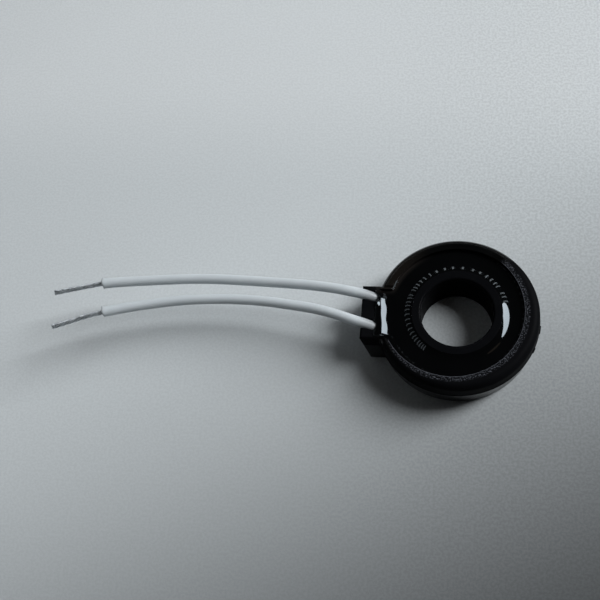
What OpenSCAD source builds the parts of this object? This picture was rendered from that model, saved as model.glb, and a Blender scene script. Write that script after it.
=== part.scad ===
// Ring-type current transformer: a moulded cup round a through bore, potted with resin,
// with a wound ring core inside and two flying leads that leave over a slotted boss.
// The base stands on the plane z = 0, the bore runs along Z and the leads leave towards -X.

/* [Case] */
// Outside diameter of the case at its parting line
case_od = 22; // [18.3:0.1:26]
// Height of the case from base to rim
case_h = 6.2; // [5.8:0.1:9]
// Thickness of the outer wall at the parting line
wall_t = 1.7; // [1.4:0.05:1.9]
// Thickness of the floor under the winding
floor_t = 0.8; // [0.6:0.05:1.2]
// Height of the parting line above the base
parting_h = 3.8; // [2.5:0.1:4.2]
// Draft of the wall above the parting line, in degrees
upper_draft = 3; // [1:0.5:4]
// Draft of the wall below the parting line, in degrees
lower_draft = 7; // [2:0.5:8]
// Height of the thin ridge of flash on the parting line
flash_h = 0.05; // [0.02:0.01:0.1]
// Height of the coarser burrs that trimming left on that ridge
burr_h = 0.15; // [0.1:0.01:0.2]
// Rounding of the rim's outer edge
shoulder_r = 1; // [0.5:0.05:1.2]
// Rounding of the base's outer edge
base_r = 0.4; // [0.2:0.05:0.6]

/* [Bore] */
// Diameter of the bore for the primary conductor
bore_d = 9.7; // [8:0.1:10.4]
// Thickness of the tube round the bore
tube_t = 1.2; // [0.9:0.05:1.3]
// How far the tube's top lies below the rim
tube_drop = 0.1; // [0:0.05:0.2]
// Rounding of the bore's two mouths
mouth_r = 0.3; // [0.1:0.05:0.4]

/* [Lead boss] */
// How far the boss stands out from the case at its top
boss_out = 1.8; // [1.6:0.1:2.6]
// Width of the boss at its top
boss_w = 7.7; // [7.4:0.1:8.6]
// How far the boss and its leads lie to the near side of the bore's axis
boss_offset = 0.3; // [0:0.05:0.4]
// How far the boss's top lies below the rim
boss_drop = 0.15; // [0.1:0.05:0.25]
// Slope of the boss's end face, which falls back towards the base, in degrees
boss_end_slope = 11; // [4:0.5:12]
// Draft of the boss's two sides, in degrees
boss_side_draft = 4; // [1:0.5:6]
// Chamfer along the boss's top edges
boss_chamfer = 0.2; // [0.1:0.05:0.25]
// Thickness of the slotted wall that the leads cross
dam_t = 1.9; // [1.5:0.05:2]
// Width of the pocket behind that wall
pocket_w = 6.8; // [6.2:0.1:6.9]
// Clearance round a lead in its slot
slot_gap = 0.05; // [0.03:0.01:0.08]
// Depth of a lead's top below the boss's top, at its solder joint
lead_sink = 0.55; // [0.2:0.05:0.7]

/* [Leads] */
// Outside diameter of a lead's insulation
lead_od = 1.4; // [1.1:0.05:1.5]
// Diameter of a lead's stranded conductor
conductor_d = 0.6; // [0.4:0.05:0.7]
// Distance between the two leads at their solder joints
lead_pitch = 4.2; // [4:0.05:4.4]
// Angle at which the leads cross the boss, in degrees
lead_skew = 10; // [0:1:12]
// Angle at which the leads climb across the boss, in degrees
lead_climb = 22; // [0:1:24]
// Length of insulation held in the resin behind the slotted wall
sleeve_grip = 0.5; // [0.3:0.05:0.55]
// Resin between the end of the insulation and the solder joint
joint_gap = 0.1; // [0.05:0.05:0.15]
// Clearance between the conductor and what it passes through or ends at
conductor_gap = 0.01; // [0.01:0.01:0.03]

/* [Potting] */
// How far the resin's level surface lies below the rim
fill_drop = 0.55; // [0.4:0.05:0.8]
// How far the resin's raised edges stop below the tops that they climb to
creep_margin = 0.04; // [0.02:0.01:0.08]
// Width of the raised edge at the tube
tube_creep_w = 1.45; // [0.8:0.05:1.5]
// Width of the raised edge at the outer wall and the pocket's sides
wall_creep_w = 0.95; // [0.6:0.05:1.2]
// Width of the raised edge at the slotted wall
dam_creep_w = 1.4; // [0.8:0.05:1.4]

/* [Core and winding] */
// Resin between the wrapped winding and the case
coil_gap = 0.1; // [0.06:0.01:0.2]
// Depth of resin over the wrapped winding
cover_t = 0.35; // [0.25:0.05:0.5]
// Thickness of the tape wrap
wrap_t = 0.06; // [0.04:0.01:0.14]
// Thickness of the winding on each side of the core box
winding_t = 0.2; // [0.15:0.05:0.45]
// Wall of the core box and of its lid
box_t = 0.2; // [0.15:0.05:0.35]
// Clearance between the core and its box
core_gap = 0.03; // [0.02:0.01:0.08]
// Rounding of the core box's outer corners
box_round = 0.1; // [0.06:0.02:0.2]
// Diameter of the winding's wire
wire_d = 0.2; // [0.15:0.01:0.25]
// Diameter of a solder joint
joint_d = 0.95; // [0.9:0.05:1]

/* [Hidden] */
$fn = 96;

// Cuts run past the faces that they open by this much
over = 1;

// Radii and levels of the case
case_r = case_od / 2;
bore_r = bore_d / 2;
tube_r = bore_r + tube_t;
tube_top = case_h - tube_drop;
cavity_r = case_r - wall_t;
boss_top = case_h - boss_drop;
boss_reach = case_r + boss_out;
boss_y = -boss_offset;
pocket_reach = boss_reach - dam_t;

// Centre of the rim's rounding, set so that the drafted wall runs out of it and ends on the parting line
shoulder_z = case_h - shoulder_r;
upper_run = (shoulder_z + shoulder_r * sin(upper_draft) - parting_h) / cos(upper_draft);
shoulder_x = case_r - shoulder_r * cos(upper_draft) - upper_run * sin(upper_draft);

// Centre of the base's rounding, set in the same way
lower_run = (parting_h - base_r + base_r * sin(lower_draft)) / cos(lower_draft);
base_x = case_r - base_r * cos(lower_draft) - lower_run * sin(lower_draft);

// Burrs on the flash: where each starts and how far it runs, in degrees from +X
burrs = [[20, 19], [-10, 6], [-25, 4]];

// Resin level, and the raised edges in the ring, each limited to its share of the channel
level = case_h - fill_drop;
edge_share = 0.45;
ring_tube_creep = min(tube_creep_w, edge_share * (cavity_r - tube_r));
ring_wall_creep = min(wall_creep_w, edge_share * (cavity_r - tube_r));

// Radius of a raised edge, from its width and the top that it climbs to
function creep_radius(width, top) =
    let (rise = top - creep_margin - level)
    (width * width + rise * rise) / (2 * rise);
tube_creep_r = creep_radius(ring_tube_creep, tube_top);
wall_creep_r = creep_radius(ring_wall_creep, case_h);
side_creep_r = creep_radius(wall_creep_w, boss_top);
dam_creep_r = creep_radius(dam_creep_w, boss_top);

// Section of the wrapped winding, and how far each layer inside it lies from its surface
coil_in = tube_r + coil_gap;
coil_out = cavity_r - coil_gap;
coil_bottom = floor_t + coil_gap;
coil_top = level - cover_t;
winding_inset = wrap_t;
box_inset = winding_inset + winding_t;
core_inset = box_inset + box_t + core_gap;
coil_round = min(box_inset + box_round, edge_share * (coil_out - coil_in));
min_round = 0.05;

// Leads: the far one is on the +Y side, the near one on the -Y side
FAR = 1;
NEAR = -1;
lead_sides = 8;
joint_z = boss_top - lead_sink - lead_od / 2;
joint_reach = pocket_reach - sleeve_grip - joint_gap - joint_d / 2;
slot_r = lead_od / 2 + slot_gap;
tail_z = (coil_bottom + coil_top) / 2;

// Free stretch of each lead, measured from the mouth of its slot: insulation first, then the bare end
far_free = [
    [-1.7, 0.2, 0.35], [-3.7, 0.48, 0.5], [-6.2, 0.78, 0.5], [-9.2, 1.05, 0.4], [-13.2, 1.27, 0.35],
    [-17.2, 1.4, 0.45], [-21.2, 1.4, 0.65], [-25.2, 1.14, 0.95], [-29.2, 0.72, 1.25], [-33.2, 0.22, 1.65],
    [-36.3, -0.35, 2.05], [-38.1, -0.85, 2.25], [-40.5, -1.6, 2.6], [-42.9, -2.35, 2.95]
];
near_free = [
    [-1.7, 0.39, 0.35], [-3.7, 0.95, 0.5], [-6.2, 1.56, 0.5], [-9.2, 2.04, 0.4], [-13.2, 2.53, 0.35],
    [-17.2, 2.69, 0.45], [-21.2, 2.53, 0.65], [-25.2, 2.08, 0.95], [-29.2, 1.32, 1.25], [-32.7, 0.45, 1.65],
    [-35.6, -0.46, 2.05], [-37.7, -1.21, 2.3], [-40.1, -2.31, 2.65], [-42.3, -3.27, 2.95]
];
bare_points = 3;

// Length of a lead's straight stretch, seen from above, from its joint to a distance from the bore's axis
function lead_run(reach) = (reach - joint_reach) / cos(lead_skew);

// Point on that straight stretch, at a distance from the bore's axis
function lead_at(side, reach) = [
    -reach,
    boss_y + side * lead_pitch / 2 + lead_run(reach) * sin(lead_skew),
    joint_z + lead_run(reach) * tan(lead_climb)
];

// Whole route of a lead: solder joint, inner end of the insulation, mouth of the slot, free stretch
function route(side) =
    let (mouth = lead_at(side, boss_reach))
    concat(
        [lead_at(side, joint_reach), lead_at(side, pocket_reach - sleeve_grip), mouth],
        [for (step = side == FAR ? far_free : near_free) mouth + step]
    );

function unit(v) = v / norm(v);

// Direction of a route at one of its points
function heading(path, i) = unit(path[min(i + 1, len(path) - 1)] - path[max(i - 1, 0)]);

// Ring of points round one point of a route, square to the route there
function ring(path, i, r) =
    let (
        ahead = heading(path, i),
        across = unit(cross(ahead, [0, 0, 1])),
        above = cross(across, ahead)
    )
    [for (k = [0 : lead_sides - 1])
        path[i] + r * (cos(k * 360 / lead_sides) * across + sin(k * 360 / lead_sides) * above)];

// Faces between two neighbouring rings whose points start at the given numbers
function band(start_a, start_b) =
    [for (k = [0 : lead_sides - 1])
        let (next = (k + 1) % lead_sides)
        [start_a + k, start_b + k, start_b + next, start_a + next]];

// Solid rod along a route, from one of its points to another
module rod(path, first, last, r) {
    count = last - first + 1;
    points = [for (i = [first : last]) each ring(path, i, r)];
    sides = [for (i = [0 : count - 2]) each band(i * lead_sides, (i + 1) * lead_sides)];
    start_cap = [for (k = [0 : lead_sides - 1]) k];
    end_cap = [for (k = [lead_sides - 1 : -1 : 0]) (count - 1) * lead_sides + k];
    polyhedron(points, concat(sides, [start_cap, end_cap]), convexity = 4);
}

// Open tube along a route, from one of its points to another
module tube(path, first, last, outer_r, inner_r) {
    count = last - first + 1;
    inner = count * lead_sides;
    final = (count - 1) * lead_sides;
    points = concat(
        [for (i = [first : last]) each ring(path, i, outer_r)],
        [for (i = [first : last]) each ring(path, i, inner_r)]
    );
    outside = [for (i = [0 : count - 2]) each band(i * lead_sides, (i + 1) * lead_sides)];
    inside = [for (i = [0 : count - 2]) each band(inner + (i + 1) * lead_sides, inner + i * lead_sides)];
    polyhedron(points, concat(outside, inside, band(inner, 0), band(final, inner + final)), convexity = 6);
}

// Corner of a section to cut away for a rounding, with its corner at the origin
module rounding_cut(r) {
    difference() {
        translate([-over, -over])
            square(r + over);
        translate([r, r])
            circle(r);
        translate([0, r])
            square([r, over]);
    }
}

// Rounded section of a ring, drawn to the right of the axis
module ring_section(inset) {
    r = max(coil_round - inset, min_round);
    x0 = coil_in + inset;
    x1 = coil_out - inset;
    z0 = coil_bottom + inset;
    z1 = coil_top - inset;
    translate([x0 + r, z0])
        square([x1 - x0 - 2 * r, z1 - z0]);
    translate([x0, z0 + r])
        square([x1 - x0, z1 - z0 - 2 * r]);
    for (x = [x0 + r, x1 - r], z = [z0 + r, z1 - r])
        translate([x, z])
            circle(r);
}

// Layer of the wound core between two insets
module coil_layer(outer_inset, inner_inset) {
    rotate_extrude()
        difference() {
            ring_section(outer_inset);
            ring_section(inner_inset);
        }
}

// Half section of the cup without its cavity
module cup_section() {
    upper_tip = [shoulder_x + shoulder_r * cos(upper_draft), shoulder_z + shoulder_r * sin(upper_draft)];
    lower_tip = [base_x + base_r * cos(lower_draft), base_r - base_r * sin(lower_draft)];
    polygon([
        [bore_r, 0], [base_x, 0], lower_tip, [case_r, parting_h], upper_tip,
        [shoulder_x, case_h], [bore_r, case_h]
    ]);
    translate([shoulder_x, shoulder_z])
        circle(shoulder_r);
    translate([base_x, base_r])
        circle(base_r);
    flash_section(flash_h);
}

// Section of the flash on the parting line: a ridge with its foot sunk in the wall
module flash_section(height) {
    foot = case_r - 2 * height;
    polygon([[foot, parting_h - 2 * height], [case_r + height, parting_h], [foot, parting_h + 2 * height]]);
}

// Ring of the case: cup, floor and tube
module cup() {
    rotate_extrude()
        difference() {
            cup_section();
            translate([tube_r, floor_t])
                square([cavity_r - tube_r, case_h]);
            translate([0, tube_top])
                square([tube_r + over / 2, case_h]);
            translate([bore_r, 0])
                rounding_cut(mouth_r);
            translate([bore_r, tube_top])
                mirror([0, 1])
                    rounding_cut(mouth_r);
        }
}

// Block of the boss: drafted sides, an end that falls back towards the base and eased top edges
module boss_block() {
    half_w = boss_w / 2;
    side_run = boss_top * tan(boss_side_draft);
    end_run = boss_top * tan(boss_end_slope);
    intersection() {
        rotate([90, 0, 0])
            linear_extrude(boss_w + 2 * side_run, center = true)
                polygon([
                    [-tube_r - coil_gap, 0], [-boss_reach + end_run, 0],
                    [-boss_reach, boss_top - boss_chamfer], [-boss_reach + boss_chamfer, boss_top],
                    [-tube_r - coil_gap, boss_top]
                ]);
        rotate([90, 0, -90])
            linear_extrude(boss_reach)
                polygon([
                    [-half_w - side_run, 0], [half_w + side_run, 0],
                    [half_w, boss_top - boss_chamfer], [half_w - boss_chamfer, boss_top],
                    [-half_w + boss_chamfer, boss_top], [-half_w, boss_top - boss_chamfer]
                ]);
    }
}

// Places things on a lead's straight stretch, with Z along the lead and -X up from it
module along_lead(side, reach) {
    translate(lead_at(side, reach))
        rotate([0, 0, 180 - lead_skew])
            rotate([0, 90 - lead_climb, 0])
                children();
}

// Slot for a lead through the boss's wall, round at the bottom and open at the top
module lead_slot(side) {
    length = (lead_run(boss_reach) - lead_run(pocket_reach)) / cos(lead_climb) + 2 * over;
    along_lead(side, pocket_reach)
        translate([0, 0, -over]) {
            cylinder(r = slot_r, h = length);
            translate([-case_h, -slot_r, 0])
                cube([case_h, 2 * slot_r, length]);
        }
}

// Space of the cavity: the ring round the tube
module ring_space(bottom, top) {
    translate([0, 0, bottom])
        difference() {
            cylinder(r = cavity_r, h = top - bottom);
            translate([0, 0, -over])
                cylinder(r = tube_r, h = top - bottom + 2 * over);
        }
}

// Space of the pocket that the ring opens into, behind the slotted wall
module pocket_space(bottom, top) {
    inner = (tube_r + cavity_r) / 2;
    translate([-pocket_reach, boss_y - pocket_w / 2, bottom])
        cube([pocket_reach - inner, pocket_w, top - bottom]);
}

// Air over the resin in the ring: level in the middle, curved up at both walls
module ring_air() {
    tube_foot = tube_r + ring_tube_creep;
    wall_foot = cavity_r - ring_wall_creep;
    rotate_extrude()
        intersection() {
            translate([tube_r - over / 2, level])
                square([cavity_r - tube_r + over, case_h]);
            union() {
                translate([tube_foot, level])
                    square([wall_foot - tube_foot, case_h]);
                translate([tube_foot, level + tube_creep_r])
                    circle(tube_creep_r);
                translate([wall_foot, level + wall_creep_r])
                    circle(wall_creep_r);
            }
        }
}

// Air over the resin in the pocket: curved up at the slotted wall and at both sides
module pocket_air() {
    inner = (tube_r + cavity_r) / 2;
    end_foot = pocket_reach - dam_creep_w;
    side_foot = pocket_w / 2 - wall_creep_w;
    translate([0, boss_y, 0])
        intersection() {
            rotate([90, 0, 0])
                linear_extrude(pocket_w + over, center = true) {
                    translate([-end_foot, level])
                        square([end_foot - inner, case_h]);
                    translate([-end_foot, level + dam_creep_r])
                        circle(dam_creep_r);
                }
            rotate([90, 0, -90])
                linear_extrude(boss_reach) {
                    translate([-side_foot, level])
                        square([2 * side_foot, case_h]);
                    for (side = [FAR, NEAR])
                        translate([side * side_foot, level + side_creep_r])
                            circle(side_creep_r);
                }
        }
}

// Straight stretch of a lead inside the resin, as a round rod of the given diameter
module lead_core(side, from_reach, to_reach, d) {
    along_lead(side, from_reach)
        cylinder(d = d, h = (lead_run(to_reach) - lead_run(from_reach)) / cos(lead_climb));
}

// Ball of solder round the end of a lead's conductor
module joint_ball(side) {
    translate(lead_at(side, joint_reach))
        sphere(d = joint_d);
}

// Wire from the winding's surface out into the pocket and up to the solder joint
module tail_wire(side) {
    place = lead_at(side, joint_reach);
    out = norm([place[0], place[1]]);
    skin = coil_out - winding_inset;
    rotate([0, 0, atan2(place[1], place[0])])
        translate([0, 0, tail_z]) {
            translate([skin, 0, 0])
                rotate([0, 90, 0])
                    cylinder(d = wire_d, h = out - skin);
            translate([out, 0, 0])
                sphere(d = wire_d);
            translate([out, 0, 0])
                cylinder(d = wire_d, h = joint_z - conductor_d / 2 - conductor_gap - tail_z);
        }
}

// Moulded black cup with the bore, the boss, its pocket and its two slots
module case() {
    color([0.07, 0.075, 0.08])
        difference() {
            union() {
                cup();
                for (burr = burrs)
                    rotate([0, 0, burr[0]])
                        rotate_extrude(angle = burr[1])
                            flash_section(burr_h);
                difference() {
                    translate([0, boss_y, 0])
                        boss_block();
                    ring_space(floor_t, case_h);
                }
            }
            pocket_space(floor_t, case_h + over);
            translate([-boss_reach, boss_y - boss_w / 2, boss_top])
                cube([boss_reach - cavity_r + wall_t, boss_w, case_h]);
            for (side = [FAR, NEAR])
                lead_slot(side);
        }
}

// Resin that fills the cup and the pocket and holds everything in it
module potting() {
    color([0.02, 0.02, 0.025])
        difference() {
            union() {
                ring_space(floor_t, case_h);
                pocket_space(floor_t, boss_top);
            }
            ring_air();
            pocket_air();
            rotate_extrude()
                ring_section(0);
            for (side = [FAR, NEAR]) {
                lead_core(side, pocket_reach - sleeve_grip, boss_reach, lead_od);
                lead_core(side, joint_reach, boss_reach, conductor_d);
                joint_ball(side);
                tail_wire(side);
            }
        }
}

// Ring core, wound from thin strip and solid in its box
module core() {
    color([0.55, 0.56, 0.58])
        rotate_extrude()
            translate([coil_in + core_inset, coil_bottom + core_inset])
                square([coil_out - coil_in - 2 * core_inset, coil_top - coil_bottom - 2 * core_inset]);
}

// Trough of the core box, open at the top
module core_box() {
    color([0.85, 0.85, 0.8])
        intersection() {
            coil_layer(box_inset, box_inset + box_t);
            cylinder(r = case_r, h = coil_top - box_inset - box_t);
        }
}

// Flat ring that closes the core box
module core_box_lid() {
    color([0.8, 0.8, 0.75])
        intersection() {
            rotate_extrude()
                ring_section(box_inset);
            translate([0, 0, coil_top - box_inset - box_t])
                cylinder(r = case_r, h = box_t);
        }
}

// Winding of enamelled wire round the core box
module winding() {
    color([0.7, 0.36, 0.16])
        coil_layer(winding_inset, box_inset);
}

// Tape wrapped over the winding, with a hole where each tail comes out
module winding_wrap() {
    color([0.85, 0.7, 0.2])
        difference() {
            coil_layer(0, winding_inset);
            for (side = [FAR, NEAR])
                tail_wire(side);
        }
}

// Tail of the winding that stops in the solder of its joint
module tail(side) {
    color([0.7, 0.36, 0.16])
        tail_wire(side);
}

// Solder round the end of a conductor and its tail
module joint(side) {
    color([0.75, 0.76, 0.78])
        difference() {
            joint_ball(side);
            lead_core(side, joint_reach, boss_reach, conductor_d);
            tail_wire(side);
        }
}

// White insulation of a lead, from inside the resin to its stripped end
module lead_insulation(side) {
    path = route(side);
    color([0.85, 0.86, 0.87])
        tube(path, 1, len(path) - 1 - bare_points, lead_od / 2, conductor_d / 2 + conductor_gap);
}

// Conductor of a lead, from its solder joint to its bare tinned tip
module lead_conductor(side) {
    path = route(side);
    color([0.6, 0.6, 0.6])
        rod(path, 0, len(path) - 1, conductor_d / 2);
}

case();
potting();
core();
core_box();
core_box_lid();
winding();
winding_wrap();
tail(FAR);  // start_tail
tail(NEAR);  // finish_tail
joint(FAR);  // start_joint
joint(NEAR);  // finish_joint
lead_insulation(FAR);  // far_lead_insulation
lead_insulation(NEAR);  // near_lead_insulation
lead_conductor(FAR);  // far_lead_conductor
lead_conductor(NEAR);  // near_lead_conductor
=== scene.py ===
import math

import bpy
import numpy as np
from mathutils import Matrix, Vector


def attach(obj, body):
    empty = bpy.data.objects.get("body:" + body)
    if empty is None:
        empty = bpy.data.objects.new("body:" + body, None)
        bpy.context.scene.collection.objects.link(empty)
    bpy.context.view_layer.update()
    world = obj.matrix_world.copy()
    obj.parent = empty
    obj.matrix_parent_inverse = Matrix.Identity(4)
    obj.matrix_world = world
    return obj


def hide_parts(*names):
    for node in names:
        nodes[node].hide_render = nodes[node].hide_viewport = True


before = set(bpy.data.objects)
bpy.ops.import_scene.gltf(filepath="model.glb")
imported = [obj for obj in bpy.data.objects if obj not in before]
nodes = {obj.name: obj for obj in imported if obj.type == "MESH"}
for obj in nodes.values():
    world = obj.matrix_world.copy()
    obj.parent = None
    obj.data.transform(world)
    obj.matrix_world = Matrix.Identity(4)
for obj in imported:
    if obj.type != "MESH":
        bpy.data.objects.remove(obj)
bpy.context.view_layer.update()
scene = bpy.context.scene
MM = 0.001

# Sizes of the part, in millimetres, as the solids have them
TUBE_R, CAVITY_R, CASE_R, FLOOR_T = 6.05, 9.3, 11.0, 0.8
LEVEL, RIM_Z, TUBE_TOP, BOSS_TOP, PARTING_Z = 5.65, 6.2, 6.1, 6.05, 3.8
POCKET_REACH, BOSS_REACH, BOSS_Y = 10.9, 12.8, -0.3
POCKET_SIDE = {"far": 3.1, "near": 3.7}
LEAD_R, STRAND_R, SLOT_R, LEAD_PITCH = 0.7, 0.3, 0.75, 4.2
LEAD_SKEW, LEAD_CLIMB = math.radians(10), math.radians(22)
JOINT_REACH, JOINT_Z, SLEEVE_REACH = 9.825, 4.8, 10.4
# Edge of the resin that ran over the rim: a circle a little off the bore's axis
FILM_X, FILM_Y, FILM_R = -0.64, 0.34, 9.51
# How far the resin is drawn up round the tube, its edge where it ran over the boss, and where the boss starts
CREEP = 1.5
SPILL_END, SPILL_SIDE, BOSS_ROOT = 11.05, {"far": 3.25, "near": 3.85}, -8.5


# Camera, as fitted to the photo: its place in millimetres, and its angles in degrees

CAMERA_AT = (0.518, -52.909, 130.35)
CAMERA_TURN, CAMERA_ABOVE, CAMERA_ROLL = 22, 64.87, -18.63

camera_data = bpy.data.cameras.new("camera")
camera_data.sensor_width = 36
camera_data.lens = 60
camera_data.clip_start = 0.005
camera_data.clip_end = 20
camera = bpy.data.objects.new("camera", camera_data)
scene.collection.objects.link(camera)
turn = Matrix.Rotation(math.radians(CAMERA_TURN), 4, "Z")
tilt = Matrix.Rotation(math.radians(90 - CAMERA_ABOVE), 4, "X")
roll = Matrix.Rotation(math.radians(CAMERA_ROLL), 4, "Z")
camera.matrix_world = Matrix.Translation(Vector(CAMERA_AT) * MM) @ turn @ tilt @ roll
scene.camera = camera


# Mesh helpers

def new_mesh(name, points, faces, material):
    """A smooth piece from points in millimetres."""
    mesh = bpy.data.meshes.new(name)
    mesh.from_pydata([tuple(np.asarray(p) * MM) for p in points], [], faces)
    mesh.validate()
    mesh.update()
    mesh.polygons.foreach_set("use_smooth", [True] * len(mesh.polygons))
    mesh.materials.append(material)
    piece = bpy.data.objects.new(name, mesh)
    scene.collection.objects.link(piece)
    return piece


def ring_faces(a, b, sides):
    """Faces between two rings of points, whose first points have the numbers a and b."""
    return [(a + k, a + (k + 1) % sides, b + (k + 1) % sides, b + k) for k in range(sides)]


def run_along(path):
    """Distance along a path to each of its points."""
    return np.concatenate([[0], np.cumsum(np.linalg.norm(np.diff(path, axis=0), axis=1))])


def smooth_path(points, step):
    """Points every step millimetres along a smooth curve through the given ones."""
    per_span = 40
    p = np.asarray(points, float)
    ends = np.vstack([2 * p[0] - p[1], p, 2 * p[-1] - p[-2]])
    fine = []
    for a, b, c, d in zip(ends, ends[1:], ends[2:], ends[3:]):
        ka, kb, kc = (np.linalg.norm(v) ** 0.5 for v in (b - a, c - b, d - c))
        ta, tb, tc, td = 0, ka, ka + kb, ka + kb + kc
        for t in np.linspace(tb, tc, per_span, endpoint=False):
            ab = (tb - t) / (tb - ta) * a + (t - ta) / (tb - ta) * b
            bc = (tc - t) / (tc - tb) * b + (t - tb) / (tc - tb) * c
            cd = (td - t) / (td - tc) * c + (t - tc) / (td - tc) * d
            abc = (tc - t) / (tc - ta) * ab + (t - ta) / (tc - ta) * bc
            bcd = (td - t) / (td - tb) * bc + (t - tb) / (td - tb) * cd
            fine.append((tc - t) / (tc - tb) * abc + (t - tb) / (tc - tb) * bcd)
    fine.append(p[-1])
    fine = np.array(fine)
    run = run_along(fine)
    at = np.linspace(0, run[-1], max(2, round(run[-1] / step) + 1))
    return np.column_stack([np.interp(at, run, fine[:, k]) for k in range(3)])


def frames_along(path):
    """Unit vectors ahead, across and above at each point of a path."""
    ahead = np.gradient(path, axis=0)
    ahead /= np.linalg.norm(ahead, axis=1)[:, None]
    across = np.cross(ahead, [0, 0, 1])
    across /= np.linalg.norm(across, axis=1)[:, None]
    return ahead, across, np.cross(across, ahead)


# Material helpers

class Shader:
    """A material with one Principled shader, and short calls for the nodes that feed it."""

    def __init__(self, name, **values):
        self.material = bpy.data.materials.new(name)
        self.material.use_nodes = True
        self.tree = self.material.node_tree
        self.bsdf = self.tree.nodes["Principled BSDF"]
        for key, value in values.items():
            self.bsdf.inputs[key.replace("_", " ")].default_value = value
        coords = self.tree.nodes.new("ShaderNodeTexCoord")
        scale = self.tree.nodes.new("ShaderNodeVectorMath")
        scale.operation = "SCALE"
        scale.inputs["Scale"].default_value = 1 / MM
        self.tree.links.new(coords.outputs["Object"], scale.inputs[0])
        self.place = scale.outputs[0]

    def put(self, value, socket):
        """Feed a socket from another one, or set it to a constant."""
        if isinstance(value, bpy.types.NodeSocket):
            self.tree.links.new(value, socket)
        else:
            socket.default_value = value

    def math(self, operation, *values):
        node = self.tree.nodes.new("ShaderNodeMath")
        node.operation = operation
        for value, socket in zip(values, node.inputs):
            self.put(value, socket)
        return node.outputs[0]

    def axis(self, which):
        """One coordinate of the place, in millimetres."""
        node = self.tree.nodes.new("ShaderNodeSeparateXYZ")
        self.tree.links.new(self.place, node.inputs[0])
        return node.outputs["XYZ".index(which)]

    def radius(self, x=0.0, y=0.0):
        """Distance from an upright line, in millimetres."""
        dx = self.math("SUBTRACT", self.axis("X"), x)
        dy = self.math("SUBTRACT", self.axis("Y"), y)
        squares = self.math("ADD", self.math("MULTIPLY", dx, dx), self.math("MULTIPLY", dy, dy))
        return self.math("SQRT", squares)

    def step(self, value, low, high, a=0.0, b=1.0):
        """A value that goes smoothly from a to b between low and high."""
        node = self.tree.nodes.new("ShaderNodeMapRange")
        node.interpolation_type = "SMOOTHSTEP"
        keys = ("Value", "From Min", "From Max", "To Min", "To Max")
        for key, v in zip(keys, (value, low, high, a, b)):
            self.put(v, node.inputs[key])
        return node.outputs["Result"]

    def fade(self, value, low, high):
        return self.step(value, low, high, 1.0, 0.0)

    def between(self, value, rise, fall):
        """A mask that rises over one range of a value and falls over another."""
        return self.both(self.step(value, *rise), self.fade(value, *fall))

    def spread(self, noise, a, b):
        """A value from a to b that follows a noise over its usual range."""
        return self.step(noise, 0.3, 0.7, a, b)

    def noise(self, per_mm, detail=2.0, rough=0.5, vector=None):
        node = self.tree.nodes.new("ShaderNodeTexNoise")
        node.inputs["Scale"].default_value = per_mm
        node.inputs["Detail"].default_value = detail
        node.inputs["Roughness"].default_value = rough
        self.tree.links.new(vector or self.place, node.inputs["Vector"])
        return node.outputs["Fac"]

    def mix(self, factor, a, b):
        """Mix of two colours."""
        node = self.tree.nodes.new("ShaderNodeMix")
        node.data_type = "RGBA"
        self.put(factor, node.inputs["Factor"])
        for value, socket in zip((a, b), (node.inputs[6], node.inputs[7])):
            self.put(value if isinstance(value, bpy.types.NodeSocket) else (*value, 1), socket)
        return node.outputs[2]

    def blend(self, factor, a, b):
        """Mix of two values."""
        node = self.tree.nodes.new("ShaderNodeMix")
        self.put(factor, node.inputs["Factor"])
        self.put(a, node.inputs["A"])
        self.put(b, node.inputs["B"])
        return node.outputs["Result"]

    def both(self, *masks):
        """Where all the masks are."""
        product = masks[0]
        for mask in masks[1:]:
            product = self.math("MULTIPLY", product, mask)
        return product

    def either(self, a, b):
        return self.math("MAXIMUM", a, b)

    def rest(self, mask):
        """Where a mask is not."""
        return self.math("SUBTRACT", 1.0, mask)

    def bump(self, height, depth_mm, strength, soften_mm=0.0):
        node = self.tree.nodes.new("ShaderNodeBump")
        node.inputs["Strength"].default_value = strength
        node.inputs["Distance"].default_value = depth_mm * MM
        self.tree.links.new(height, node.inputs["Height"])
        self.tree.links.new(node.outputs[0], self.bsdf.inputs["Normal"])
        if soften_mm:
            edge = self.tree.nodes.new("ShaderNodeBevel")
            edge.samples = 6
            edge.inputs["Radius"].default_value = soften_mm * MM
            self.tree.links.new(edge.outputs[0], node.inputs["Normal"])

    def colour(self, socket):
        self.tree.links.new(socket, self.bsdf.inputs["Base Color"])

    def roughness(self, socket):
        self.tree.links.new(socket, self.bsdf.inputs["Roughness"])

    def shine(self, socket):
        self.tree.links.new(socket, self.bsdf.inputs["Specular IOR Level"])


# Soft limits of the masks that the case and the resin share, in millimetres
OUTSIDE_TUBE, INSIDE_CASE = (7.0, 7.5), (CASE_R, CASE_R + 0.05)
# Bare land on the rim: where it starts and ends, in radians, how its width fades, the colour of the painted
# glints on it, and its roughness
LAND_START, LAND_END, LAND_WIDTH = (-2.70, -2.68), (0.8, 0.95), (0.55, 0.8)
FLECK_GLINT, LAND_ROUGH = (0.085, 0.089, 0.103), 0.5


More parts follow.
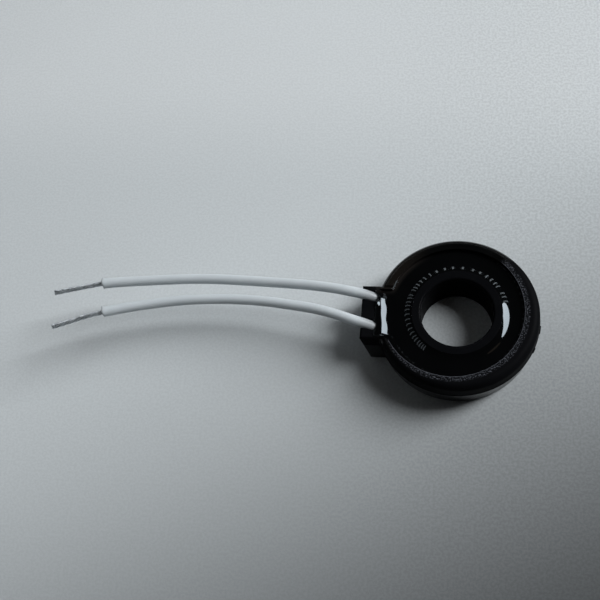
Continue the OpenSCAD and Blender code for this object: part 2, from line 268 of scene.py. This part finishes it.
def land_masks(s):
    """The rim's bare, crumbly land, the painted glints on its crumbs and along its inner edge, and the wet
    rim beside it.
    """
    wander, edge_glint_share = 0.12, 0.8
    rim_top, wall_top = (RIM_Z - 0.05, RIM_Z - 0.02), (4.2, 4.8)
    edge_rise, line_rise, line_fall = (-0.02, 0.03), (0.0, 0.03), (0.06, 0.1)
    crumb_range = (0.51, 0.63)
    edge = s.math("ADD", s.radius(FILM_X, FILM_Y), s.math("MULTIPLY", s.noise(1.5, 2), wander))
    past = s.math("SUBTRACT", edge, FILM_R + wander / 2)
    angle = s.math("ARCTAN2", s.axis("Y"), s.axis("X"))
    span = s.between(angle, LAND_START, LAND_END)
    high = s.step(s.axis("Z"), *rim_top)
    bare = s.both(s.step(past, *edge_rise), span)
    band = s.both(bare, high, s.fade(past, *LAND_WIDTH))
    edge_glint = s.between(past, line_rise, line_fall)
    crumb = s.step(s.noise(5.5, 2, 0.6), *crumb_range)
    # Painted glints: bright flecks on the crumbs and a painted highlight along the land's inner edge, which
    # also give the crumbs their relief
    crumb_and_glint = s.both(band, s.either(crumb, s.math("MULTIPLY", edge_glint, edge_glint_share)))
    ring = s.between(s.radius(), OUTSIDE_TUBE, INSIDE_CASE)
    beyond = s.both(ring, s.step(s.axis("Z"), *wall_top), s.rest(span))
    return band, crumb_and_glint, s.either(s.both(high, s.rest(bare)), beyond)


def case_material():
    """Matte black plastic, glossier below the parting line, and wet with resin on the rim and the boss, with
    a painted brown sheen on the wet rim at the far left and painted glints on the bare land.
    """
    wall_dark, wall_pale, base = (0.0030, 0.0032, 0.0038), (0.0048, 0.0050, 0.0058), (0.008, 0.0085, 0.009)
    film_black, film_painted_sheen = (0.0014, 0.0015, 0.0016), (0.0085, 0.0072, 0.0062)
    wall_shine, base_shine, film_shine = 0.015, 0.21, 0.2
    wall_rough, base_rough, film_rough = (0.44, 0.52), (0.2, 0.26), (0.16, 0.24)
    parting = (PARTING_Z - 0.1, PARTING_Z + 0.05)
    boss_face, boss_end = (BOSS_TOP - 0.06, BOSS_TOP - 0.02), (-SPILL_END, 0.05 - SPILL_END)
    boss_root = (BOSS_ROOT + 0.1, BOSS_ROOT + 0.5)
    tube_side, tube_mouth = (TUBE_R + 0.05, TUBE_R + 0.15), (4.9, 5.6)
    painted_sheen_x, painted_sheen_y = (-8.0, -3.0), (0.5, 4.0)
    s = Shader("case_plastic", IOR=1.48, Specular_IOR_Level=0.1)
    z, r = s.axis("Z"), s.radius()
    grain, cloud = s.noise(9, 3), s.noise(0.35, 2)
    band, crumb_and_glint, wet = land_masks(s)
    # Resin also wets the boss beside the pocket, and the tube's top is smooth
    over = s.between(s.axis("X"), boss_end, boss_root)
    wet = s.either(wet, s.both(s.step(z, *boss_face), over))
    tube = s.both(s.fade(r, *tube_side), s.step(z, *tube_mouth))
    smooth = s.either(wet, tube)
    below = s.both(s.fade(z, *parting), s.step(r, *OUTSIDE_TUBE))
    s.shine(s.blend(wet, s.blend(below, wall_shine, base_shine), film_shine))
    body = s.mix(below, s.mix(cloud, wall_dark, wall_pale), base)
    # A painted brown sheen, standing in for a reflection, lies on the wet rim at the far left
    painted_sheen = s.both(s.fade(s.axis("X"), *painted_sheen_x), s.step(s.axis("Y"), *painted_sheen_y))
    # The painted glints on the bare land go over the colour
    s.colour(s.mix(crumb_and_glint, s.mix(wet, body, s.mix(painted_sheen, film_black, film_painted_sheen)), FLECK_GLINT))
    dry = s.blend(below, s.spread(cloud, *wall_rough), s.spread(cloud, *base_rough))
    s.roughness(s.blend(smooth, s.blend(band, dry, LAND_ROUGH), s.spread(cloud, *film_rough)))
    relief = s.math("MULTIPLY", grain, s.rest(smooth))
    s.bump(s.math("ADD", relief, crumb_and_glint), depth_mm=0.02, strength=0.5, soften_mm=0.1)
    return s.material


def resin_material():
    """Wet black resin with a faint ripple, dull where the rim's land reaches into it, with a painted brown
    sheen at the far left and painted glints on the land.
    """
    deep, pale = (0.0008, 0.0009, 0.0010), (0.0018, 0.0019, 0.0021)
    painted_sheen_brown, land = (0.0135, 0.0115, 0.0105), (0.0035, 0.0037, 0.0044)
    wet_shine, land_shine, wet_rough, ripple_share = 0.355, 0.03, (0.03, 0.07), 0.3
    painted_sheen_x, painted_sheen_y, painted_sheen_r = (-7.5, -3.0), (2.2, 3.6), (8.5, CAVITY_R)
    s = Shader("resin", IOR=1.52, Specular_IOR_Level=wet_shine, Specular_Tint=(0.82, 0.92, 1.0, 1.0))
    band, crumb_and_glint, _ = land_masks(s)
    cloud, ripple = s.noise(0.3, 2), s.noise(0.8, 1)
    # A painted brown sheen, standing in for a reflection, carries on over the resin's thin edge at the far
    # left
    far_left = s.both(s.fade(s.axis("X"), *painted_sheen_x), s.step(s.axis("Y"), *painted_sheen_y))
    painted_sheen = s.both(far_left, s.step(s.radius(), *painted_sheen_r))
    black = s.mix(painted_sheen, s.mix(cloud, deep, pale), painted_sheen_brown)
    # The painted glints on the bare land go over the colour here too
    s.colour(s.mix(crumb_and_glint, s.mix(band, black, land), FLECK_GLINT))
    s.shine(s.blend(band, wet_shine, land_shine))
    s.roughness(s.blend(band, s.step(s.noise(2.5, 3), 0.35, 0.75, *wet_rough), LAND_ROUGH))
    s.bump(s.math("ADD", s.math("MULTIPLY", ripple, ripple_share), crumb_and_glint), depth_mm=0.012, strength=0.5)
    return s.material


def insulation_material():
    """Satin white insulation with a little dust, greyed towards the end where it leaves the boss."""
    skin_dark, skin_pale = (0.565, 0.605, 0.63), (0.60, 0.64, 0.665)
    dirt, dirt_range, dirt_share = (0.40, 0.43, 0.45), (0.66, 0.78), 0.3
    boss_end_grey, boss_end_x, boss_end_share = (0.26, 0.27, 0.28), (-13.8, -11.2), 0.8
    s = Shader("white_insulation", IOR=1.46, Subsurface_Weight=0.6, Subsurface_Scale=0.001)
    s.bsdf.inputs["Subsurface Radius"].default_value = (1, 1, 1)
    dust = s.step(s.noise(3.2, 4, 0.7), *dirt_range, 0.0, dirt_share)
    skin = s.mix(dust, s.mix(s.noise(0.25, 3), skin_dark, skin_pale), dirt)
    # The insulation turns greyer towards the end that leaves the boss
    s.colour(s.mix(s.step(s.axis("X"), *boss_end_x, 0.0, boss_end_share), skin, boss_end_grey))
    s.roughness(s.spread(s.noise(1.4, 3), 0.36, 0.5))
    s.bump(s.noise(5, 3), depth_mm=0.012, strength=0.35)
    return s.material


def tin_material():
    """Tinned wire, dulled in patches."""
    bright, dull, dull_range = (0.78, 0.82, 0.85), (0.50, 0.53, 0.555), (0.42, 0.68)
    s = Shader("tinned_strand", Metallic=1.0)
    s.colour(s.mix(s.step(s.noise(1.3, 4, 0.65), *dull_range), bright, dull))
    s.roughness(s.spread(s.noise(6, 3), 0.28, 0.5))
    s.bump(s.noise(14, 2), depth_mm=0.01, strength=0.4)
    return s.material


def inner_material(name, light, dark, per_mm, rough, metallic=0.0, stretch=(1, 1, 1)):
    """Finish of a piece inside the resin: two tones in a grain, drawn out along an axis if it is wound."""
    s = Shader(name, Metallic=metallic)
    scale = s.tree.nodes.new("ShaderNodeVectorMath")
    scale.operation = "MULTIPLY"
    scale.inputs[1].default_value = stretch
    s.tree.links.new(s.place, scale.inputs[0])
    grain = s.noise(per_mm, 3, 0.55, scale.outputs[0])
    s.colour(s.mix(grain, light, dark))
    s.roughness(s.spread(grain, rough, rough + 0.15))
    s.bump(grain, depth_mm=0.01, strength=0.4)
    return s.material


resin = resin_material()
white = insulation_material()
tin = tin_material()


# Leads: the route of each from the mouth of its slot to the bare tip, the last points of it bare

FREE = {
    "far": [
        (-1.7, 0.2, 0.35), (-3.7, 0.48, 0.5), (-6.2, 0.78, 0.5), (-9.2, 1.05, 0.4), (-13.2, 1.27, 0.35),
        (-17.2, 1.4, 0.45), (-21.2, 1.4, 0.65), (-25.2, 1.14, 0.95), (-29.2, 0.72, 1.25),
        (-33.2, 0.22, 1.65), (-36.3, -0.35, 2.05), (-38.1, -0.85, 2.25), (-40.5, -1.6, 2.6),
        (-42.9, -2.35, 2.95),
    ],
    "near": [
        (-1.7, 0.39, 0.35), (-3.7, 0.95, 0.5), (-6.2, 1.56, 0.5), (-9.2, 2.04, 0.4), (-13.2, 2.53, 0.35),
        (-17.2, 2.69, 0.45), (-21.2, 2.53, 0.65), (-25.2, 2.08, 0.95), (-29.2, 1.32, 1.25),
        (-32.7, 0.45, 1.65), (-35.6, -0.46, 2.05), (-37.7, -1.21, 2.3), (-40.1, -2.31, 2.65),
        (-42.3, -3.27, 2.95),
    ],
}
BARE_POINTS = 3
ROUTE_STEP = 0.2


def lead_at(side, reach):
    """Point on a lead's straight stretch across the boss, at a distance from the bore's axis."""
    run = (reach - JOINT_REACH) / math.cos(LEAD_SKEW)
    y = BOSS_Y + (0.5 if side == "far" else -0.5) * LEAD_PITCH + run * math.sin(LEAD_SKEW)
    return np.array((-reach, y, JOINT_Z + run * math.tan(LEAD_CLIMB)))


def sleeve_mesh(name, path, seed):
    """Insulation: a tube with a slightly uneven skin, cut off a little askew at its stripped end."""
    sides, window, uneven = 32, 25, 0.02
    hole_r = STRAND_R + 0.02
    # The cut: how far back it shows, its slant, its lip, and the tongue that was drawn out of it
    cut_run, slant, slant_wave = 0.35, 0.14, 0.04
    lip_out, lip_turn, lip_wave = 0.05, 0.4, 0.015
    tongue_out, tongue_run, tongue_at, tongue_width = 0.22, 0.12, 0.45, 0.3
    ahead, across, above = frames_along(path)
    draws = np.random.default_rng(seed).normal(0, 1, len(path) + window - 1)
    sway = np.convolve(draws, np.ones(window) / window, "valid")
    left = run_along(path[::-1])[::-1]
    points, faces = [], []
    rings = [(i, True) for i in range(len(path))] + [(i, False) for i in reversed(range(len(path)))]
    for i, outside in rings:
        near_cut = math.exp(-left[i] / cut_run)
        for a in np.linspace(0, 2 * math.pi, sides, endpoint=False):
            skew = near_cut * (slant * math.sin(a) + slant_wave * math.sin(3 * a + seed))
            lip = lip_out * (0.5 + 0.5 * math.sin(a + lip_turn)) + lip_wave * math.sin(5 * a + seed)
            tongue = tongue_out * math.exp(-left[i] / tongue_run - ((a - tongue_at) / tongue_width) ** 2)
            r = LEAD_R * (1 + uneven * sway[i]) + (near_cut * lip + tongue) if outside else hole_r
            points.append(path[i] + r * (math.cos(a) * across[i] + math.sin(a) * above[i]) + skew * ahead[i])
    for i in range(len(rings)):
        faces += ring_faces(i * sides, (i + 1) % len(rings) * sides, sides)
    return new_mesh(name, points, faces, white)


def strand_mesh(name, path, lay, seed):
    """Conductor: six tinned strands twisted round a seventh, which loosen a little at the bare tip."""
    outer, sides = 6, 8
    wire_r, ring_r, tip_out = 0.118, 0.225, 0.03
    # How uneven the strands' turns and tips are, how far they loosen, and how they wander
    turn_play, tip_play = 0.25, 0.25
    loose_run, loose_out = 1.6, 0.22
    wander, wander_per_mm = 0.05, 1.3
    _, across, above = frames_along(path)
    rng = np.random.default_rng(seed)
    run = run_along(path)
    left = run[-1] - run
    loose = np.exp(-left / loose_run)
    points, faces = [], []
    for strand in range(outer + 1):
        phase = rng.uniform(0, turn_play)
        short = rng.uniform(0, tip_play)
        swell = 1 + loose_out * loose * rng.uniform(0.3, 1) + wander * np.sin(run * wander_per_mm + strand)
        off = (ring_r if strand < outer else 0) * swell
        a = strand * math.pi / 3 + phase + 2 * math.pi * run / lay
        centre = path + (off * np.cos(a))[:, None] * across + (off * np.sin(a))[:, None] * above
        centre = centre[left >= short]
        forward, side, up = frames_along(centre)
        start = len(points)
        for i, c in enumerate(centre):
            for k in range(sides):
                t = 2 * math.pi * k / sides
                points.append(c + wire_r * (math.cos(t) * side[i] + math.sin(t) * up[i]))
        for i in range(len(centre) - 1):
            faces += ring_faces(start + i * sides, start + (i + 1) * sides, sides)
        last, tip = len(points) - sides, len(points)
        points += [centre[-1] + tip_out * forward[-1], centre[0]]
        for k in range(sides):
            n = (k + 1) % sides
            faces.append((last + k, last + n, tip))
            faces.append((start + n, start + k, tip + 1))
    return new_mesh(name, points, faces, tin)


for side, seed, lay in (("far", 3, 6.5), ("near", 8, 6.0)):
    inner, mouth = lead_at(side, SLEEVE_REACH), lead_at(side, BOSS_REACH)
    free = [mouth + step for step in FREE[side]]
    route = smooth_path([lead_at(side, JOINT_REACH), inner, mouth] + free, ROUTE_STEP)
    cut = int(np.argmin(np.linalg.norm(route - free[-1 - BARE_POINTS], axis=1)))
    first = int(np.argmin(np.linalg.norm(route - inner, axis=1)))
    sleeve = sleeve_mesh(f"{side}_lead_sleeve", route[first : cut + 1], seed)
    strands = strand_mesh(f"{side}_lead_strands", route, lay, seed)
    for piece, node, slot in (
        (sleeve, "insulation", "white_insulation"),
        (strands, "conductor", "tinned_strand"),
    ):
        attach(piece, "root")
        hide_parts(f"{side}_lead_{node}")


# Resin: level in the ring, drawn up at the tube and the wall, and heaped up against the slotted wall

# Where the ring's wall gives way to the pocket, and over how far
OPENING_AT, OPENING_RUN = math.radians(152), math.radians(5)
# How far from the wall the resin is drawn up, which is farther on the near side, and where it ends
NEAR_RUN, FAR_RUN, NEAR_AT, NEAR_HALF = 0.2, 0.08, math.radians(-50), math.radians(105)
RIM_DROP, BOSS_LIFT = 0.012, 0.01
# The heap: its crest, which bends outwards at both ends, its height as a share of the rim's, and its run
CREST_X, CREST_SKEW, CREST_WAVE, CREST_PER_MM = -10.12, 0.078, 0.03, 2.3
FAR_BEND_Y, FAR_BEND_RUN, FAR_BEND = 1.7, 1.6, 1.0
NEAR_BEND_Y, NEAR_BEND_RUN, NEAR_BEND = 3.35, 0.4, 0.3
HEAP_SHARE, HEAP_RUN = 0.94, 1.55
# The small blob beside the heap, with its widths as the squares that its bell curve takes
BLOB_X, BLOB_Y, BLOB_H, BLOB_ACROSS, BLOB_ALONG = -10.76, 0.95, 0.23, 0.14, 0.4
# Over the boss, the resin thins out to its ragged edge: each wave's height, turn per millimetre and start
THIN_RUN = 0.3
RAGGED = ((0.05, 3.1, 0.4), (0.03, 7.3, 0.0))
# Where each lead comes out of the heap, and how far its top then stands clear
BARE_AT, BARE_BEND, BARE_RUN, BARE_CLEAR = 10.62, 0.4, 0.18, 0.06


def ease(t):
    """A smooth step from 0 to 1."""
    t = min(1.0, max(0.0, t))
    return t * t * (3 - 2 * t)


def pocket_edge(angle, end, sides):
    """Distance from the axis to the edge of the ring, or of a pocket with a given reach and sides."""
    c, s = math.cos(angle), math.sin(angle)
    if c >= 0:
        return CAVITY_R
    side = sides["far"] if s > 0 else sides["near"]
    return max(CAVITY_R, min(end / -c, side / max(abs(s), 1e-6)))


def resin_edge(angle):
    """Distance from the axis to the resin's outer edge, which runs a little over the boss."""
    y = CASE_R * math.sin(angle)
    ragged = sum(height * math.sin(per_mm * y + start) for height, per_mm, start in RAGGED)
    return pocket_edge(angle, SPILL_END + ragged, SPILL_SIDE)


def film_edge(angle):
    """Distance from the axis to the inner edge of the rim's bare land."""
    along = FILM_X * math.cos(angle) + FILM_Y * math.sin(angle)
    return min(CAVITY_R, along + math.sqrt(FILM_R**2 - FILM_X**2 - FILM_Y**2 + along**2))


def to_wall(x, y, angle):
    """Distance to the nearest wall of the ring or of the pocket, below zero over the wall itself."""
    side = POCKET_SIDE["far" if y > 0 else "near"]
    corner = -math.sqrt(CAVITY_R**2 - side**2)
    if abs(angle) < math.atan2(side, corner):
        return film_edge(angle) - math.hypot(x, y)
    if x < corner:
        return side - abs(y)
    return math.hypot(x - corner, side - abs(y))


def lead_top(side, x, y):
    """Height of a lead's upper side over a place, and how many radii the place is off the lead's axis."""
    centre = lead_at(side, -x)
    off = (y - centre[1]) * math.cos(LEAD_SKEW) / LEAD_R
    return centre[2] + LEAD_R * math.sqrt(max(0.0, 1 - off * off)) / math.cos(LEAD_CLIMB), off


def resin_height(x, y):
    """Height of the resin's surface over a place."""
    r, angle = math.hypot(x, y), math.atan2(y, x)
    rim, boss = RIM_Z - RIM_DROP, BOSS_TOP + BOSS_LIFT
    top = rim + (boss - rim) * ease((abs(angle) - OPENING_AT) / OPENING_RUN)
    width = NEAR_RUN if abs(angle - NEAR_AT) < NEAR_HALF else FAR_RUN
    at_wall = (top - LEVEL) * min(1.0, max(0.0, 1 - to_wall(x, y, angle) / width)) ** 2
    crest = CREST_X - CREST_SKEW * y + CREST_WAVE * math.sin(CREST_PER_MM * y)
    crest -= FAR_BEND * ease((y - FAR_BEND_Y) / FAR_BEND_RUN)
    crest -= NEAR_BEND * ease((-y - NEAR_BEND_Y) / NEAR_BEND_RUN)
    heap = HEAP_SHARE * max(0.0, 1 - max(0.0, x - crest) / HEAP_RUN) ** 2
    rise = RIM_Z - LEVEL
    z = LEVEL + (TUBE_TOP - LEVEL) * max(0.0, 1 - (r - TUBE_R) / CREEP) ** 2
    z += rise * (1 - (1 - heap) * (1 - at_wall / rise))
    z += BLOB_H * math.exp(-((x - BLOB_X) ** 2) / BLOB_ACROSS - (y - BLOB_Y) ** 2 / BLOB_ALONG)
    if z > BOSS_TOP and x < BOSS_ROOT:
        z = BOSS_TOP + (z - BOSS_TOP) * (1 - max(0.0, 1 - (resin_edge(angle) - r) / THIN_RUN) ** 2)
    for side in ("far", "near"):
        top, off = lead_top(side, x, y)
        bare = ease((-x - BARE_AT - BARE_BEND * off * off) / BARE_RUN) if abs(off) < 1 else 0.0
        z += (min(z, top - BARE_CLEAR) - z) * bare
    return z


def slot_front(side, points, faces):
    """Resin that crept out round a lead in its slot: a closed wedge that falls away from the heap."""
    rows, columns = 20, 17
    first_reach, length = 10.6, 1.3
    inside_r, film_t = SLOT_R - 0.005, 0.02
    # The wedge's height at the pocket's wall, its fall, how far it climbs the slot's sides, and its limits
    height, fall, climb = 5.9, 1.1, 0.12
    below_lead, below_boss = 0.1, 0.02
    start = len(points)
    for lower in (False, True):
        for i in range(rows):
            reach = first_reach + length * i / (rows - 1)
            centre = lead_at(side, reach)
            for w in np.linspace(-1, 1, columns):
                y = centre[1] + w * inside_r
                z = centre[2] - inside_r * math.sqrt(max(0.0, 1 - w * w))
                if not lower:
                    top, off = lead_top(side, -reach, y)
                    limit = top - below_lead if abs(off) < 1 else BOSS_TOP - below_boss
                    z = max(z + film_t, min(height - fall * (reach - POCKET_REACH) + climb * w**4, limit))
                points.append((-reach, y, z))
    sheet = rows * columns
    for i in range(rows - 1):
        for k in range(columns - 1):
            a, b = start + i * columns + k, start + (i + 1) * columns + k
            faces.append((a, b, b + 1, a + 1))
            faces.append((a + sheet + 1, b + sheet + 1, b + sheet, a + sheet))
    rim = [i * columns for i in range(rows)] + [(rows - 1) * columns + k for k in range(1, columns)]
    rim += [i * columns + columns - 1 for i in reversed(range(rows - 1))]
    rim += list(reversed(range(1, columns - 1)))
    for a, b in zip(rim, rim[1:] + rim[:1]):
        faces.append((start + b, start + a, start + a + sheet, start + b + sheet))


def resin_mesh():
    """The resin: its surface, finer at the boss, a skirt that closes it, and the fronts in the slots."""
    turns = np.radians(np.concatenate([np.arange(-150, 150, 0.5), np.arange(150, 210, 0.125)]))
    rings, skin = 84, 0.04
    shares = (1 - np.cos(np.linspace(0, math.pi, rings))) / 2
    points, faces = [], []
    for a in turns:
        a = math.atan2(math.sin(a), math.cos(a))
        for r in TUBE_R + shares * (resin_edge(a) - TUBE_R):
            x, y = r * math.cos(a), r * math.sin(a)
            points.append((x, y, resin_height(x, y)))
    # Skirt: in over the boss to the wall, down to the floor and back up at the tube
    skirt = len(points)
    for a in turns:
        wall = pocket_edge(a, POCKET_REACH, POCKET_SIDE)
        under = min(BOSS_TOP, resin_height(wall * math.cos(a), wall * math.sin(a)) - skin)
        for r, z in ((wall, under), (wall, FLOOR_T), (TUBE_R, FLOOR_T)):
            points.append((r * math.cos(a), r * math.sin(a), z))
    count = len(turns)
    for i in range(count):
        n = (i + 1) % count
        for k in range(rings - 1):
            faces.append((i * rings + k, i * rings + k + 1, n * rings + k + 1, n * rings + k))
        here, there = (
            [m * rings + rings - 1] + [skirt + 3 * m + k for k in range(3)] + [m * rings] for m in (i, n)
        )
        for k in range(4):
            faces.append((here[k], here[k + 1], there[k + 1], there[k]))
    for side in ("far", "near"):
        slot_front(side, points, faces)
    return new_mesh("resin_fill", points, faces, resin)


fill = resin_mesh()
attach(fill, "root")
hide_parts("potting")


# Finishes of the solids that stay

copper = inner_material("enamelled_wire", (0.62, 0.27, 0.11), (0.4, 0.15, 0.06), 2, 0.25, 1.0, (1, 1, 8))
solder = inner_material("solder", (0.72, 0.72, 0.74), (0.5, 0.5, 0.52), 5, 0.25, 1.0)
for node, material in {
    "case": case_material(),
    "core": inner_material("core_strip", (0.55, 0.55, 0.57), (0.36, 0.36, 0.38), 3, 0.3, 1.0, (1, 1, 0.2)),
    "core_box": inner_material("box_plastic", (0.76, 0.76, 0.7), (0.68, 0.68, 0.62), 4, 0.45),
    "core_box_lid": inner_material("lid_plastic", (0.74, 0.74, 0.68), (0.66, 0.66, 0.6), 4, 0.45),
    "winding": copper,
    "start_tail": copper,
    "finish_tail": copper,
    "winding_wrap": inner_material("tape", (0.78, 0.6, 0.16), (0.66, 0.48, 0.1), 1.5, 0.25),
    "start_joint": solder,
    "finish_joint": solder,
}.items():
    materials = nodes[node].data.materials
    materials.clear()
    materials.append(material)


# Floor, light and air

def floor_material():
    """Pale, finely grained table, shaded as the photo's is inside its frame and even beyond it."""
    shade, pale, far_pale = (0.06, 0.063, 0.065), (0.672, 0.704, 0.717), (0.762, 0.787, 0.797)
    even, black, grain_depth = (0.73, 0.755, 0.765), (0.0, 0.0, 0.0), 0.45
    photo_x, photo_y, photo_edge = -20, 5, (58, 86)
    slant_share, slant_range, far_range = 0.6, (-60, 30), (20, 44)
    grain_x, grain_and_shade_share = (-25, 12), (0.16, 0.36)
    s = Shader("floor", Roughness=0.6, Specular_IOR_Level=0.2)
    fine = s.step(s.noise(2.8, 3, 0.6), 0.36, 0.64)
    # Painted light and shade: the floor darkens towards the near right, grows paler far behind the part, and
    # is even farther out
    slant = s.math("SUBTRACT", s.axis("Y"), s.math("MULTIPLY", s.axis("X"), slant_share))
    tone = s.mix(s.step(slant, *slant_range), shade, pale)
    tone = s.mix(s.step(s.axis("Y"), *far_range), tone, far_pale)
    tone = s.mix(s.step(s.radius(photo_x, photo_y), *photo_edge), tone, even)
    # The grain grows stronger to the right, and the extra grain darkens the floor there as painted shade too
    grain = s.both(fine, s.step(s.axis("X"), *grain_x, *grain_and_shade_share))
    s.colour(s.mix(grain, tone, s.mix(grain_depth, tone, black)))
    s.bump(fine, depth_mm=0.02, strength=0.2)
    return s.material


half = 1500
corners = [(-half, -half, 0), (half, -half, 0), (half, half, 0), (-half, half, 0)]
ground = new_mesh("floor", corners, [(0, 1, 2, 3)], floor_material())

# Air: dim for the part, pale behind it
AIR_COLOUR, AIR_DIM, AIR_PALE = (0.9, 0.94, 0.96, 1), 0.02, 0.6
world = bpy.data.worlds.new("air")
scene.world = world
world.use_nodes = True
air = world.node_tree
air.nodes["Background"].inputs["Color"].default_value = AIR_COLOUR
ray, share = air.nodes.new("ShaderNodeLightPath"), air.nodes.new("ShaderNodeMapRange")
share.inputs["To Min"].default_value = AIR_DIM
share.inputs["To Max"].default_value = AIR_PALE
air.links.new(ray.outputs["Is Camera Ray"], share.inputs["Value"])
air.links.new(share.outputs["Result"], air.nodes["Background"].inputs["Strength"])

# Distances of the lights, in metres
PANEL_AWAY, RING_AWAY = 1.2, 0.5
COOL, WARM = (0.95, 0.98, 1.0), (1.0, 0.72, 0.5)


def lamp(name, at, matrix, size, radiance, shape="RECTANGLE", colour=COOL):
    """A flat light at a place, turned by a matrix whose third axis points away from what it lights."""
    data = bpy.data.lights.new(name, "AREA")
    data.shape = shape
    data.size, data.size_y = size
    data.energy = radiance * math.pi * size[0] * size[1] * (math.pi / 4 if shape == "ELLIPSE" else 1)
    data.color = colour
    light = bpy.data.objects.new(name, data)
    scene.collection.objects.link(light)
    light.matrix_world = Matrix.Translation(at) @ matrix.to_4x4()
    light.visible_camera = False


# Window-like panel that lights the part, and a warm, dim one beside it
for name, towards, lean, size, radiance, colour in (
    ("key_light", (0.690, 0.345, 0.636), 15.6, (0.44, 0.96), 16.3, COOL),
    ("warm_light", (0.33, 0.06, 0.94), 0, (0.2, 0.2), 0.3, WARM),
):
    back = Vector(towards).normalized()
    turned = back.to_track_quat("Z", "Y").to_matrix() @ Matrix.Rotation(math.radians(lean), 3, "Z")
    lamp(name, back * PANEL_AWAY, turned, size, radiance, "ELLIPSE", colour)

# Place on the resin's edge at the tube where the ticks are seen, and the surface's slope at two steps there
TICK_R, TICK_Z = 6.65, 5.86
TICK_SLOPE, NEXT_SLOPE = math.radians(19.8), math.radians(21.8)


def mirrored(angle, slope):
    """A place on the resin's edge at the tube, and the direction in which the camera sees it reflect."""
    place = Vector((TICK_R * math.cos(angle), TICK_R * math.sin(angle), TICK_Z)) * MM
    out = math.sin(slope)
    normal = Vector((out * math.cos(angle), out * math.sin(angle), math.cos(slope)))
    view = (camera.matrix_world.translation - place).normalized()
    return place, (2 * normal.dot(view) * normal - view).normalized()


# Ring of small lamps round the camera, which the resin's edge shows as a row of fine ticks
# Each row has the lamps' width and length in metres, their radiance, and their ticks' places in degrees
for width, length, radiance, ring in (
    (0.006, 0.20, 4.5, (16.2, 22, 27.2, 37, 42, 48, 54.8)),
    (0.010, 0.14, 3.2, (63.5, 72.5, 84.5, 96, 105.5, 115.5)),
    (0.005, 0.20, 3.2, (124.2, 131.8, 137.8, 143.2, 147.8)),
    (0.0045, 0.22, 2.0, (151.8, 158.5, 162.5, 167.8, 172.5, 177.5, 183.5, 190, 196)),
    (0.0045, 0.22, 2.0, (202, 207.8, 213, 217, 221.5, 225, 228.2, 231.2)),
):
    for degrees in ring:
        angle = math.radians(degrees)
        place, ahead = mirrored(angle, TICK_SLOPE)
        across = (mirrored(angle, NEXT_SLOPE)[1] - ahead).cross(ahead).normalized()
        turned = Matrix((across, ahead.cross(across), ahead)).transposed()
        lamp(f"ring_lamp_{degrees:.0f}", place + RING_AWAY * ahead, turned, (width, length), radiance)

scene.view_settings.view_transform = "Standard"
